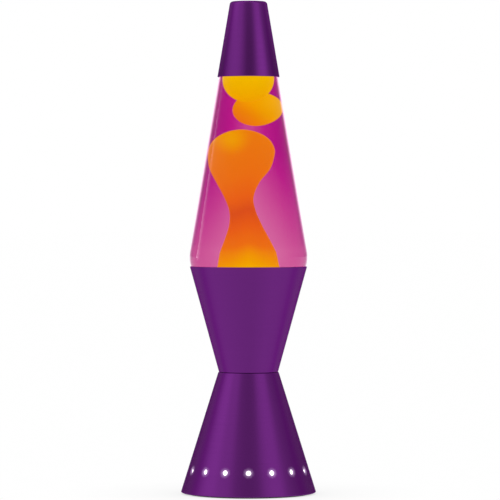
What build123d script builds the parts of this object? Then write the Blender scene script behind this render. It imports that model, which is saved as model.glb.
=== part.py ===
from build123d import *
import math
import os

# A lava lamp. Millimetres, Z up, the lamp's axis is Z and its front is -Y.
# The origin is on the floor, under the middle of the base.

os.makedirs("parts", exist_ok=True)

# ---------------------------------------------------------------- driving dimensions
height = 368.3
base_d = 101.3
lower_top_d = 45.2  # top edge of the lower cone, a little proud of the cup's foot
waist_d = 44.2
rim_d = 87.8
cap_bottom_d = 46.6
cap_top_d = 27.5
edge_z = 1.2  # bottom edge of the lower cone
waist_z = 91.0  # joint between the two cones of the base
rim_z = 170.0  # rim of the cup that holds the globe
cap_z = 312.0  # bottom edge of the cap
skin = 0.85  # wall of the spun cones, measured level
sheet = 0.8
gap = 0.05  # running clearance
fit = 0.02  # pressed or screwed together
loose = 0.1  # plain clearance hole
cut_l = 8.0  # length of the cutters through a wall

star_count = 16
star_d = 4.0
star_z = 18.5

collar_r = 18.9  # outside of the cup's collar, which passes down through the lower cone
collar_wall = 0.7
ring_t = 1.2  # bracket strip
plate_top = 34.0  # top of the bracket's foot plate, where the socket stands

glass_wall = 2.8
glass_fit = 0.08  # between the bottle and the cup
glass_top_r = 22.0  # bottle's outside radius level with the cap's edge
glass_slope = 0.166
cap_wall = 1.1
globe_z = 125.0  # underside of the bottle
mouth_z = 350.0
neck_r = 11.5
finish_r = 13.3
bore_r = 8.5
liquid_z = 333.0

bulb_r = 17.5
bulb_tip_z = 49.0
bulb_top_z = 108.0
bulb_mid_z = bulb_top_z - bulb_r

cord_z = 8.2  # where the cord leaves the base
cord_hole_r = 3.75
floor_cord_z = 1.4  # cord lying on the floor
core_r = 1.4  # half of the cord's height
web_h = 1.8  # between the cord's two cores
turn_r = 12.5
switch_y = 111.5
switch_cord_z = 4.2
switch_l = 44.0
switch_w = 16.0
switch_h = 12.0
plug_y = switch_y + 2 * turn_r
plug_z = 6.25
cord_turn_x = 31.0

lower_slope = (base_d - lower_top_d) / 2 / (waist_z - edge_z)
upper_slope = (rim_d - waist_d) / 2 / (rim_z - waist_z)
cap_slope = (cap_bottom_d - cap_top_d) / 2 / (height - cap_z)


# ---------------------------------------------------------------- shared shapes
def lower_r(z):
    """Outside radius of the lower cone at a height."""
    return base_d / 2 - lower_slope * (z - edge_z)


def cup_r(z):
    """Outside radius of the cup at a height."""
    return waist_d / 2 + upper_slope * (z - waist_z)


def cap_r(z):
    """Outside radius of the cap at a height."""
    return cap_bottom_d / 2 - cap_slope * (z - cap_z)


def glass_low_r(z):
    """Outside radius of the bottle where it stands in the cup."""
    return cup_r(z) - skin - glass_fit


def glass_high_r(z):
    """Outside radius of the bottle's long upper taper."""
    return glass_top_r + glass_slope * (cap_z - z)


def turned(corners):
    """Closed face in the XZ plane from (radius, height) or (radius, height, rounding) corners."""
    with BuildSketch(Plane.XZ, mode=Mode.PRIVATE) as profile:
        with BuildLine():
            FilletPolyline(
                *[(c[0], c[1]) for c in corners],
                radius=[c[2] if len(c) > 2 else 0 for c in corners],
                close=True,
            )
        make_face()
    return profile.sketch


def thread_wall(crest, root, low, pitch, turns):
    """Zigzag of (radius, height) points for a rolled thread, from low upward."""
    points = []
    for turn in range(turns):
        points.append((root, low + turn * pitch))
        points.append((crest, low + (turn + 0.5) * pitch))
    points.append((root, low + turns * pitch))
    return points


def cord_section(plane, clearance=0.0):
    """Two-core flat cord: two round cores side by side with a web between them."""
    with BuildSketch(plane, mode=Mode.PRIVATE) as section:
        with Locations((-core_r, 0), (core_r, 0)):
            Circle(core_r + clearance)
        Rectangle(2 * core_r, web_h + 2 * clearance)
    return section.sketch


def run(here, section, length):
    """Straight stretch of cord or wire from a plane across it; returns the plane at its end."""
    extrude(section(here), amount=length)
    return here.offset(length)


def bend(here, section, towards, radius, angle):
    """Round stretch that turns the heading towards a direction; returns the plane at its end."""
    centre = here.origin + towards * radius
    axle = here.z_dir.cross(towards)
    turn = Axis((0, 0, 0), axle)
    revolve(section(here), Axis(centre, axle), revolution_arc=angle)
    return Plane(
        centre + (here.origin - centre).rotate(turn, angle),
        x_dir=here.x_dir.rotate(turn, angle),
        z_dir=here.z_dir.rotate(turn, angle),
    )


def step(here, section, towards, rise, length):
    """Two equal bends that shift the cord sideways by a rise over a length, heading kept."""
    half = math.atan2(rise, length)
    radius = length / 2 / math.sin(2 * half)
    middle = bend(here, section, towards, radius, math.degrees(2 * half))
    back = (-towards).rotate(Axis((0, 0, 0), here.z_dir.cross(towards)), math.degrees(2 * half))
    return bend(middle, section, back, radius, math.degrees(2 * half))


def ellipsoid(centre, size):
    """Rounded blob with the half sizes (x, y, z)."""
    with BuildPart(mode=Mode.PRIVATE) as unit:
        Sphere(1)
        scale(by=size)
    with BuildPart(mode=Mode.PRIVATE) as blob:
        with Locations(centre):
            add(unit.part)
    return blob.part


# ---------------------------------------------------------------- base: two spun cones
waist_hole_r = collar_r + gap
hem_r = 47.6
hem_top = edge_z + sheet
flange_low = waist_z - sheet

with BuildPart() as lower_cone:
    revolve(
        turned(
            [
                (hem_r, edge_z, 0.3),
                (base_d / 2, edge_z, 0.5),
                (lower_top_d / 2, waist_z, 0.6),
                (waist_hole_r, waist_z),
                (waist_hole_r, flange_low),
                (lower_r(flange_low) - skin, flange_low),
                (lower_r(hem_top) - skin, hem_top),
                (hem_r, hem_top, 0.3),
            ]
        ),
        Axis.Z,
    )
    with Locations((0, 0, star_z)):
        with PolarLocations(lower_r(star_z), star_count, start_angle=-90):
            Cylinder(star_d / 2, cut_l, rotation=(0, 90, 0), mode=Mode.SUBTRACT)
    with Locations((0, lower_r(cord_z), cord_z)):
        Cylinder(cord_hole_r, cut_l, rotation=(90, 0, 0), mode=Mode.SUBTRACT)

collar_in = collar_r - collar_wall
flare_r = 19.85
flare_top = flange_low - ring_t
flare_low = flare_top - sheet
cup_floor = waist_z + sheet

with BuildPart() as upper_cup:
    revolve(
        turned(
            [
                (cup_r(rim_z) - skin, rim_z, 0.35),
                (cup_r(rim_z), rim_z, 0.4),
                (waist_d / 2, waist_z, 0.6),
                (collar_r, waist_z),
                (collar_r, flare_top),
                (flare_r, flare_top),
                (flare_r, flare_low),
                (collar_in, flare_low),
                (collar_in, cup_floor, 0.3),
                (cup_r(cup_floor) - skin, cup_floor),
            ]
        ),
        Axis.Z,
    )

cover_low = 0.7
cover_top = 2.5
cover_r = 49.2
cover_lip_r = 47.5  # the part of the cover inside the cone's hem
foot_out = 46.0
foot_in = 41.0
hook_r = 46.6
hook_l = 3.2
hook_w = 6.0
hook_h = 1.2
vent_r = 27.0
vent_l = 18.0
vent_w = 3.0

with BuildPart() as bottom_cover:
    revolve(
        turned(
            [
                (0, cover_low),
                (foot_in - gap, cover_low),
                (foot_in - gap, edge_z),
                (foot_out + gap, edge_z),
                (foot_out + gap, cover_low),
                (cover_r, cover_low, 0.2),
                (cover_r, edge_z - gap),
                (cover_lip_r, edge_z - gap),
                (cover_lip_r, cover_top, 0.3),
                (0, cover_top),
            ]
        ),
        Axis.Z,
    )
    # snap hooks that reach over the cone's hem
    with Locations((0, 0, hem_top + gap)):
        with PolarLocations(hook_r, 4, start_angle=45):
            Box(hook_l, hook_w, hook_h, align=(Align.CENTER, Align.CENTER, Align.MIN))
    # ventilation slots
    with BuildSketch(Plane.XY):
        with PolarLocations(vent_r, 12):
            SlotOverall(vent_l, vent_w)
    extrude(amount=cover_top + 1, mode=Mode.SUBTRACT)

with BuildPart() as foot_ring:
    revolve(
        turned([(foot_in, 0, 0.3), (foot_out, 0, 0.3), (foot_out, edge_z), (foot_in, edge_z)]),
        Axis.Z,
    )

# ---------------------------------------------------------------- lampholder on its bracket
leg_in = 20.0
leg_out = 21.0
leg_w = 7.0
leg_top = flare_top + 0.5  # the legs are welded into the ring
leg_bend_out = 2.5
leg_bend_in = 1.5
ring_r = 21.1
plate_r = 10.0
plate_t = 1.2
plate_low = plate_top - plate_t
nipple_r = 5.0

with BuildPart() as socket_bracket:
    with BuildSketch(Plane.XY.offset(flare_top)):
        Circle(ring_r)
        Circle(waist_hole_r, mode=Mode.SUBTRACT)
    extrude(amount=ring_t)
    with BuildSketch(Plane.XZ):
        with BuildLine():
            FilletPolyline(
                (-leg_out, leg_top),
                (-leg_out, plate_low),
                (leg_out, plate_low),
                (leg_out, leg_top),
                (leg_in, leg_top),
                (leg_in, plate_top),
                (-leg_in, plate_top),
                (-leg_in, leg_top),
                radius=[0, leg_bend_out, leg_bend_out, 0, 0, leg_bend_in, leg_bend_in, 0],
                close=True,
            )
        make_face()
    extrude(amount=leg_w / 2, both=True)
    with Locations((0, 0, plate_low)):
        Cylinder(plate_r, plate_t, align=(Align.CENTER, Align.CENTER, Align.MIN))
        Cylinder(nipple_r + loose, cut_l, mode=Mode.SUBTRACT)

washer_t = 0.8
washer_r = 7.4
tooth_cut_r = 0.7
nut_t = 3.0
nut_flats = 14.0
nipple_pitch = 1.0
nipple_thread_h = 0.35
nipple_bore_r = 3.5
nipple_low = plate_low - washer_t - nut_t - nipple_pitch
cap_floor_t = 2.0
socket_cap_top = plate_top + 11.0
nipple_top = plate_top + cap_floor_t + nut_t + nipple_pitch

with BuildPart() as threaded_nipple:
    nipple_turns = round((nipple_top - nipple_low) / nipple_pitch)
    thread = thread_wall(nipple_r, nipple_r - nipple_thread_h, nipple_low, nipple_pitch, nipple_turns)
    revolve(turned([(nipple_bore_r, nipple_low)] + thread + [(nipple_bore_r, nipple_top)]), Axis.Z)

with BuildPart() as nipple_nuts:
    for nut_low in (plate_low - washer_t - nut_t, plate_top + cap_floor_t):
        with BuildSketch(Plane.XY.offset(nut_low)):
            RegularPolygon(nut_flats / 2, 6, major_radius=False)
            Circle(nipple_r + 1.5 * fit, mode=Mode.SUBTRACT)
        extrude(amount=nut_t)

with BuildPart() as lock_washer:
    with BuildSketch(Plane.XY.offset(plate_low - washer_t)):
        Circle(washer_r)
        Circle(nipple_r + loose, mode=Mode.SUBTRACT)
        with PolarLocations(washer_r + 0.2, 12):
            Circle(tooth_cut_r, mode=Mode.SUBTRACT)
    extrude(amount=washer_t)

socket_r = 13.5
socket_wall = 1.8
socket_bore_r = 9.3
socket_top = 70.0
spigot_wall = 1.3
spigot_h = 1.5
floor_t = 2.5
socket_floor = socket_cap_top + floor_t
terminal_x = 6.8
screw_r = 1.0
terminal_head_r = 2.0
terminal_head_h = 1.4
lamp_pitch = 2.8  # of the bulb's thread
shell_crest_r = 8.25
shell_root_r = 8.55
shell_t = 0.3
shell_tab_x = 7.2
shell_tab_h = 0.5

with BuildPart() as socket_cap:
    cavity_r = socket_r - socket_wall
    revolve(
        turned(
            [
                (nipple_r + loose, plate_top),
                (socket_r, plate_top, 1.0),
                (socket_r, socket_cap_top),
                (cavity_r, socket_cap_top),
                (cavity_r, plate_top + cap_floor_t),
                (nipple_r + loose, plate_top + cap_floor_t),
            ]
        ),
        Axis.Z,
    )

with BuildPart() as socket_body:
    spigot_r = cavity_r - gap
    revolve(
        turned(
            [
                (0, socket_cap_top),
                (spigot_r - spigot_wall, socket_cap_top),
                (spigot_r - spigot_wall, socket_cap_top - spigot_h),
                (spigot_r, socket_cap_top - spigot_h),
                (spigot_r, socket_cap_top),
                (socket_r, socket_cap_top),
                (socket_r, socket_top, 0.8),
                (socket_bore_r, socket_top, 0.8),
                (socket_bore_r, socket_floor),
                (0, socket_floor),
            ]
        ),
        Axis.Z,
    )
    with Locations((-terminal_x, 0, socket_floor), (terminal_x, 0, socket_floor)):
        Cylinder(screw_r + fit, 3 * floor_t, mode=Mode.SUBTRACT)

with BuildPart() as terminal_screws:
    with Locations((-terminal_x, 0, socket_cap_top), (terminal_x, 0, socket_cap_top)):
        Cylinder(terminal_head_r, terminal_head_h, align=(Align.CENTER, Align.CENTER, Align.MAX))
        Cylinder(screw_r, floor_t, align=(Align.CENTER, Align.CENTER, Align.MIN))

shell_low = socket_floor + shell_tab_h
contact_points = [(-8.2, 47.7), (-3.5, 47.7), (-1.0, 48.6), (2.2, 48.7)]
contact_t = 0.4
contact_w = 4.0

with BuildPart() as socket_screw_shell:
    inner_wall = thread_wall(shell_crest_r, shell_root_r, shell_low, lamp_pitch, 6)
    outer_wall = [(r + shell_t, z) for r, z in reversed(inner_wall)]
    revolve(turned(inner_wall + outer_wall), Axis.Z)
    with Locations((shell_tab_x, 0, socket_floor)):
        Box(3.2, 4, shell_tab_h, align=(Align.CENTER, Align.CENTER, Align.MIN))

with BuildPart() as socket_contact:
    with BuildSketch(Plane.XZ):
        with BuildLine():
            strip = Polyline(*contact_points)
        trace(strip, line_width=contact_t)
    extrude(amount=contact_w / 2, both=True)

lead_r = 0.7
lead_x = 1.5  # each lead's place in the nipple's bore
lead_start_y = 23.95
lead_turn_r = 12.0
lead_top_z = 38.5
terminal_bend = 3.5


def lead_section(plane):
    """Round section of one lead."""
    with BuildSketch(plane, mode=Mode.PRIVATE) as section:
        Circle(lead_r)
    return section.sketch


with BuildPart() as socket_leads:
    for side in (-1, 1):
        out = Vector(side, 0, 0)
        here = Plane((side * lead_x, lead_start_y, cord_z), x_dir=(1, 0, 0), z_dir=(0, -1, 0))
        here = run(here, lead_section, lead_start_y - lead_turn_r)
        here = bend(here, lead_section, Vector(0, 0, 1), lead_turn_r, 90)
        here = run(here, lead_section, lead_top_z - cord_z - lead_turn_r)
        here = bend(here, lead_section, out, terminal_bend, 90)
        here = run(here, lead_section, terminal_x - lead_x - terminal_bend)

# ---------------------------------------------------------------- bulb
neck_top = 69.5
neck_glass_r = 7.25
neck_glass_z = 58.0  # where the glass ends inside the screw base
flare_points = [(11.0, 75.5), (15.6, 82.5)]
bulb_wall = 0.7
base_in_r = 7.3
base_root_r = 7.7
base_crest_r = 8.1
base_low = 52.5
base_top = 68.0
insulator_low = 50.2
insulator_top = 54.5


def bulb_profile(inset):
    """Half outline of the bulb's glass, filled to the axis, smaller by inset all round."""
    ball_r = bulb_r - inset
    glass_r = neck_glass_r - inset
    with BuildSketch(Plane.XZ, mode=Mode.PRIVATE) as profile:
        with BuildLine():
            Polyline((0, bulb_top_z - inset), (0, neck_glass_z), (glass_r, neck_glass_z), (glass_r, neck_top))
            Spline(
                (glass_r, neck_top),
                *[(r - inset, z) for r, z in flare_points],
                (ball_r, bulb_mid_z),
                tangents=[(0, 1), (0, 1)],
            )
            CenterArc((0, bulb_mid_z), ball_r, 0, 90)
        make_face()
    return profile.sketch


with BuildPart() as bulb_envelope:
    revolve(bulb_profile(0), Axis.Z)
    revolve(bulb_profile(bulb_wall), Axis.Z, mode=Mode.SUBTRACT)

with BuildPart() as bulb_screw_base:
    outer_wall = thread_wall(base_crest_r, base_root_r, base_low, lamp_pitch, 5)
    revolve(
        turned([(base_in_r, base_low)] + outer_wall + [(base_root_r, base_top), (base_in_r, base_top)]),
        Axis.Z,
    )

with BuildPart() as bulb_insulator:
    revolve(
        turned(
            [
                (0, insulator_low),
                (4.0, insulator_low),
                (base_in_r, base_low - loose),
                (base_in_r - gap, insulator_top),
                (0, insulator_top),
            ]
        ),
        Axis.Z,
    )

with BuildPart() as bulb_tip_contact:
    revolve(
        turned([(0, bulb_tip_z), (2.2, bulb_tip_z, 0.5), (3.6, insulator_low), (0, insulator_low)]),
        Axis.Z,
    )

stem_top = 80.0
stem_r = 2.2
wire_x = 1.3  # where each support wire leaves the stem

with BuildPart() as bulb_stem:
    revolve(
        turned([(0, 59.0), (6.4, 59.0), (6.4, 59.9), (2.6, 66.0, 3), (stem_r, stem_top), (0, stem_top)]),
        Axis.Z,
    )

filament_z = 92.0
filament_x = 8.2
filament_bow = 5.0
filament_rise = 2.0
filament_r = 0.4
wire_r = 0.3

with BuildPart() as bulb_support_wires:
    for side in (-1, 1):
        with BuildLine(mode=Mode.PRIVATE) as route:
            Spline(
                (side * wire_x, 0, stem_top),
                (side * 8.0, 0, filament_z - 0.5),
                tangents=[(0, 0, 1), (side * 0.3, 0, 1)],
            )
        with BuildSketch(Plane.XY.offset(stem_top)):
            with Locations((side * wire_x, 0)):
                Circle(wire_r)
        sweep(path=route.line)

with BuildPart() as bulb_filament:
    with BuildLine():
        arch = ThreePointArc(
            (-filament_x, 0, filament_z),
            (0, filament_bow, filament_z + filament_rise),
            (filament_x, 0, filament_z),
        )
    with BuildSketch(Plane(arch @ 0, z_dir=arch % 0)):
        Circle(filament_r)
    sweep(path=arch)

# ---------------------------------------------------------------- glass bottle and closure
belly_z = (glass_high_r(0) - glass_low_r(0)) / (upper_slope + glass_slope)
belly_r = glass_low_r(belly_z)
glass_floor = globe_z + 4.3
shoulder_z = 330.0


def cavity(clearance, top):
    """Inside of the bottle up to a height, smaller by a clearance."""
    wall = glass_wall + clearance
    floor = glass_floor + clearance
    high = shoulder_z - 2
    return turned(
        [
            (0, floor),
            (glass_low_r(floor) - wall, floor, 4),
            (belly_r - wall, belly_z, 22),
            (glass_high_r(high) - wall, high, 4),
            (bore_r - clearance, high + 8, 3),
            (bore_r - clearance, top),
            (0, top),
        ]
    )


with BuildPart() as glass_bottle:
    revolve(
        turned(
            [
                (0, globe_z + 1.5),
                (16, globe_z + 1.5, 4),
                (21, globe_z, 4),
                (glass_low_r(globe_z), globe_z, 6),
                (belly_r, belly_z, 25),
                (glass_high_r(shoulder_z), shoulder_z, 5),
                (neck_r, shoulder_z + 8, 3),
                (neck_r, mouth_z - 6.5, 0.6),
                (finish_r, mouth_z - 5.5, 0.6),
                (finish_r, mouth_z - 0.6, 0.8),
                (12.2, mouth_z, 0.4),
                (0, mouth_z),
            ]
        ),
        Axis.Z,
    )
    revolve(cavity(0, mouth_z + 1), Axis.Z, mode=Mode.SUBTRACT)

liner_r = 12.9
liner_top = mouth_z + 0.8
crown_t = 0.35
skirt_z = mouth_z - 4.7
flute_r = 1.05

with BuildPart() as crown_liner:
    revolve(turned([(0, mouth_z), (liner_r, mouth_z), (liner_r, liner_top), (0, liner_top)]), Axis.Z)

with BuildPart() as crown_cap:
    under = liner_top + gap
    revolve(
        turned(
            [
                (0, under),
                (13.2, under),
                (14.2, skirt_z),
                (14.6, skirt_z),
                (13.6, under + crown_t, 0.8),
                (0, under + crown_t),
            ]
        ),
        Axis.Z,
    )
    with Locations((0, 0, skirt_z)):
        with PolarLocations(14.35 + flute_r, 21):
            Cylinder(flute_r, cut_l - 2, mode=Mode.SUBTRACT)

with BuildPart() as cap:
    lid_z = height - sheet
    revolve(
        turned(
            [
                (cap_r(cap_z) - cap_wall, cap_z, 0.3),
                (cap_r(cap_z), cap_z, 0.4),
                (cap_r(height), height, 2.5),
                (0, height),
                (0, lid_z),
                (cap_r(lid_z) - cap_wall, lid_z, 1.6),
            ]
        ),
        Axis.Z,
    )

# ---------------------------------------------------------------- what is in the bottle
coil_r = 20.0
coil_half = 2.0

with BuildPart() as wax_coil:
    # the spring ring's outer size, as a plain torus
    with Locations((0, 0, glass_floor + coil_half + 0.4)):
        Torus(coil_r, coil_half)

# column of wax: (height, sideways shift, radius) of its round sections, then a dome on the last one
column_sections = [
    (146, 0.0, 25.0),
    (158, 0.0, 21.2),
    (170, 0.0, 17.4),
    (184, -0.5, 13.5),
    (198, -1.5, 9.2),
    (210, -3.3, 7.1),
    (220, -5.0, 7.9),
    (231, -5.8, 11.7),
    (243, -4.8, 17.0),
    (256, -4.0, 19.0),
]
dome_h = 16.4
pool_r = 29.0
pool_top = 149.0
pool_low = glass_floor + loose

with BuildPart() as wax_column:
    for level, shift, radius in column_sections:
        with BuildSketch(Plane.XY.offset(level)):
            with Locations((shift, 0)):
                Circle(radius)
    loft()
    dome_z, dome_x, dome_r = column_sections[-1]
    with BuildSketch(Plane.XZ):
        with BuildLine():
            EllipticalCenterArc((dome_x, dome_z), dome_r, dome_h, start_angle=0, arc_size=90)
            Polyline((dome_x, dome_z + dome_h), (dome_x, dome_z), (dome_x + dome_r, dome_z))
        make_face()
    revolve(axis=Axis((dome_x, 0, 0), (0, 0, 1)))
    revolve(turned([(0, pool_low), (pool_r - 4, pool_low, 5), (pool_r, pool_top - 5, 3), (0, pool_top)]), Axis.Z)
    add(wax_coil.part, mode=Mode.SUBTRACT)

# (place, half sizes) of the two free masses of wax
free_blob = ((4.6, 6.5, 286.6), (12.9, 8.5, 12.6))
top_blob = ((0, -5.5, 311.0), (16.0, 8.6, 19.5))

with BuildPart() as wax_free_blob:
    add(ellipsoid(*free_blob))

with BuildPart() as wax_top_blob:
    add(ellipsoid(*top_blob))

with BuildPart() as liquid:
    revolve(cavity(fit, mouth_z), Axis.Z)
    split(bisect_by=Plane.XY.offset(liquid_z), keep=Keep.BOTTOM)
    add(wax_column.part, mode=Mode.SUBTRACT)
    add(wax_coil.part, mode=Mode.SUBTRACT)
    add(wax_free_blob.part, mode=Mode.SUBTRACT)
    add(wax_top_blob.part, mode=Mode.SUBTRACT)

# ---------------------------------------------------------------- cord, in-line switch and plug
row_y = switch_y - 2 * turn_r
bushing_end = 51.2
bushing_r = 5.2
bushing_l = 7.7

with BuildPart() as cord_bushing:
    with BuildSketch(Plane.XZ.offset(-bushing_end)):
        with Locations((0, cord_z)):
            Circle(bushing_r)
    extrude(amount=bushing_l)
    add(lower_cone.part, mode=Mode.SUBTRACT)
    slot = Plane((0, bushing_end + 1, cord_z), x_dir=(1, 0, 0), z_dir=(0, -1, 0))
    extrude(cord_section(slot, gap), amount=12, mode=Mode.SUBTRACT)

down = Vector(0, 0, -1)
up = Vector(0, 0, 1)
rear = Vector(0, 1, 0)
right = Vector(1, 0, 0)
switch_rise = switch_cord_z - floor_cord_z
switch_ramp = cord_turn_x - switch_l / 2
cord_end_x = 12.0  # each cord's end inside the switch
cord_start_y = 24.0
cord_drop_y = 52.0  # where the cord starts down to the floor

with BuildPart() as cord_lamp_side:
    here = Plane((0, cord_start_y, cord_z), x_dir=(1, 0, 0), z_dir=(0, 1, 0))
    here = run(here, cord_section, cord_drop_y - cord_start_y)
    here = step(here, cord_section, down, cord_z - floor_cord_z, row_y - turn_r - cord_drop_y)
    here = bend(here, cord_section, right, turn_r, 90)
    here = run(here, cord_section, cord_turn_x - turn_r)
    here = bend(here, cord_section, rear, turn_r, 180)
    here = step(here, cord_section, up, switch_rise, switch_ramp)
    here = run(here, cord_section, switch_l / 2 - cord_end_x)

plug_tail_x = -17.0
tail_in = 5.0  # cord inside the plug's tail

with BuildPart() as cord_plug_side:
    here = Plane((-cord_end_x, switch_y, switch_cord_z), x_dir=(0, 1, 0), z_dir=(-1, 0, 0))
    here = run(here, cord_section, switch_l / 2 - cord_end_x)
    here = step(here, cord_section, down, switch_rise, switch_ramp)
    here = bend(here, cord_section, rear, turn_r, 180)
    here = step(here, cord_section, up, plug_z - floor_cord_z, cord_turn_x + plug_tail_x)
    here = run(here, cord_section, tail_in)

switch_round = 6.0
well_l = 24.0
well_w = 13.0
well_round = 3.0
well_floor = 1.5
boss_r = 3.0
wheel_r = 9.5
wheel_low = 4.6
wheel_t = 3.6
wheel_play = 0.3
wheel_top = wheel_low + wheel_t + wheel_play
notch_r = 0.45
pin_r = 1.5
pin_low = 1.0
pin_l = 10.0
screw_x = 15.0
screw_y = 5.3
screw_low = 0.4
screw_head_r = 1.9
screw_head_h = 1.4
screw_l = 8.4
screw_spots = [(-screw_x, switch_y + screw_y), (screw_x, switch_y - screw_y)]


def cord_channel():
    """Room for the cord through both ends of the switch, along X."""
    return cord_section(Plane((0, switch_y, switch_cord_z), x_dir=(0, 1, 0), z_dir=(1, 0, 0)), gap)


with BuildPart() as switch_lower_half:
    with BuildSketch(Plane.XY):
        with Locations((0, switch_y)):
            RectangleRounded(switch_l, switch_w, switch_round)
    extrude(amount=switch_cord_z)
    chamfer(switch_lower_half.faces().sort_by(Axis.Z)[0].edges(), 0.8)
    with BuildSketch(Plane.XY.offset(well_floor)):
        with Locations((0, switch_y)):
            RectangleRounded(well_l, well_w, well_round)
    extrude(amount=switch_cord_z, mode=Mode.SUBTRACT)
    with Locations((0, switch_y, well_floor)):
        Cylinder(boss_r, switch_cord_z - well_floor, align=(Align.CENTER, Align.CENTER, Align.MIN))
    with Locations((0, switch_y, pin_low)):
        Cylinder(pin_r + fit, pin_l, align=(Align.CENTER, Align.CENTER, Align.MIN), mode=Mode.SUBTRACT)
    extrude(cord_channel(), amount=30, both=True, mode=Mode.SUBTRACT)
    with Locations(*[(x, y, 0) for x, y in screw_spots]):
        head_room = screw_low + screw_head_h
        Cylinder(
            screw_head_r + loose, head_room, align=(Align.CENTER, Align.CENTER, Align.MIN), mode=Mode.SUBTRACT
        )
        Cylinder(screw_r + gap, 20, mode=Mode.SUBTRACT)

with BuildPart() as switch_upper_half:
    with BuildSketch(Plane.XY.offset(switch_cord_z)):
        with Locations((0, switch_y)):
            RectangleRounded(switch_l, switch_w, switch_round)
    extrude(amount=switch_h - switch_cord_z)
    fillet(switch_upper_half.faces().sort_by(Axis.Z)[-1].edges(), 2.2)
    with BuildSketch(Plane.XY.offset(switch_cord_z)):
        with Locations((0, switch_y)):
            RectangleRounded(well_l, well_w, well_round)
    extrude(amount=6.0, mode=Mode.SUBTRACT)
    with Locations((0, switch_y, wheel_top)):
        Cylinder(boss_r, 3.0, align=(Align.CENTER, Align.CENTER, Align.MIN))
    with Locations((0, switch_y, switch_cord_z)):
        wheel_room = wheel_top - switch_cord_z
        pin_room = pin_low + pin_l + loose - switch_cord_z
        Cylinder(
            wheel_r + wheel_play, wheel_room, align=(Align.CENTER, Align.CENTER, Align.MIN), mode=Mode.SUBTRACT
        )
        Cylinder(pin_r + fit, pin_room, align=(Align.CENTER, Align.CENTER, Align.MIN), mode=Mode.SUBTRACT)
    extrude(cord_channel(), amount=30, both=True, mode=Mode.SUBTRACT)
    with Locations(*[(x, y, switch_cord_z) for x, y in screw_spots]):
        screw_room = screw_low + screw_l + 0.6 - switch_cord_z
        Cylinder(screw_r + fit, screw_room, align=(Align.CENTER, Align.CENTER, Align.MIN), mode=Mode.SUBTRACT)

with BuildPart() as switch_wheel:
    with BuildSketch(Plane.XY.offset(wheel_low)):
        with Locations((0, switch_y)):
            Circle(wheel_r)
            with PolarLocations(wheel_r + loose, 32):
                Circle(notch_r, mode=Mode.SUBTRACT)
            Circle(pin_r + gap, mode=Mode.SUBTRACT)
    extrude(amount=wheel_t)

with BuildPart() as switch_pin:
    with Locations((0, switch_y, pin_low)):
        Cylinder(pin_r, pin_l, align=(Align.CENTER, Align.CENTER, Align.MIN))

leaf_points = [(11.6, 2.6), (9.0, 2.6), (7.5, 3.8), (5.0, 4.0)]
leaf_t = 0.4
leaf_w = 2.2

with BuildPart() as switch_contacts:
    for side in (-1, 1):
        with BuildSketch(Plane.XZ.offset(-switch_y - core_r)):
            with BuildLine():
                leaf = Polyline(*[(side * x, z) for x, z in leaf_points])
            trace(leaf, line_width=leaf_t)
        extrude(amount=leaf_w / 2, both=True)

bridge_low = 1.6
bridge_t = 0.4
bridge_w = 1.4
bridge_x = 11.0
bridge_way_round = 4.8  # how far the bridge passes beside the pin's boss

with BuildPart() as switch_bridge:
    end_y = switch_y - core_r
    low_y = switch_y - bridge_way_round
    with BuildSketch(Plane.XY.offset(bridge_low)):
        with BuildLine():
            strip = Polyline((-bridge_x, end_y), (3 - bridge_x, low_y), (bridge_x - 3, low_y), (bridge_x, end_y))
        trace(strip, line_width=bridge_w)
    extrude(amount=bridge_t)

with BuildPart() as switch_screws:
    with Locations(*[(x, y, screw_low) for x, y in screw_spots]):
        Cylinder(screw_head_r, screw_head_h, align=(Align.CENTER, Align.CENTER, Align.MIN))
        Cylinder(screw_r, screw_l, align=(Align.CENTER, Align.CENTER, Align.MIN))

plug_front_x = 12.0
plug_waist_x = -4.0
plug_w = 25.0
plug_h = 12.4
plug_round = 4.0
blade_out = 17.5
blade_in = 8.0
blade_gap = 12.7
blade_t = 1.5
blade_hole_r = 1.6
blade_round = 1.2
grip_r = 1.2
grip_y = 13.2

with BuildPart() as plug_blades:
    for side, blade_h in ((-1, 6.35), (1, 7.94)):
        with BuildSketch(Plane.XZ.offset(-plug_y - side * blade_gap / 2)):
            with Locations((plug_front_x + (blade_out - blade_in) / 2, plug_z)):
                RectangleRounded(blade_out + blade_in, blade_h, blade_round)
            with Locations((plug_front_x + blade_out - 3.6, plug_z)):
                Circle(blade_hole_r, mode=Mode.SUBTRACT)
        extrude(amount=blade_t / 2, both=True)

with BuildPart() as plug_body:
    across = Plane((0, plug_y, plug_z), x_dir=(0, 1, 0), z_dir=(1, 0, 0))
    with BuildSketch(across.offset(plug_tail_x)):
        RectangleRounded(9.5, 6.5, 2.5)
    with BuildSketch(across.offset(plug_waist_x)):
        RectangleRounded(plug_w, plug_h, plug_round)
    loft()
    with BuildSketch(across.offset(plug_waist_x)):
        RectangleRounded(plug_w, plug_h, plug_round)
    extrude(amount=plug_front_x - plug_waist_x)
    fillet(plug_body.faces().sort_by(Axis.X)[-1].edges(), 1.0)
    with Locations(*[(x, plug_y + side * grip_y, plug_z) for x in (-1.5, 2.5, 6.5) for side in (-1, 1)]):
        Cylinder(grip_r, 2 * plug_h, mode=Mode.SUBTRACT)
    add(plug_blades.part, mode=Mode.SUBTRACT)
    extrude(cord_section(across.offset(plug_tail_x + tail_in), gap), amount=-20, mode=Mode.SUBTRACT)

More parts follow.
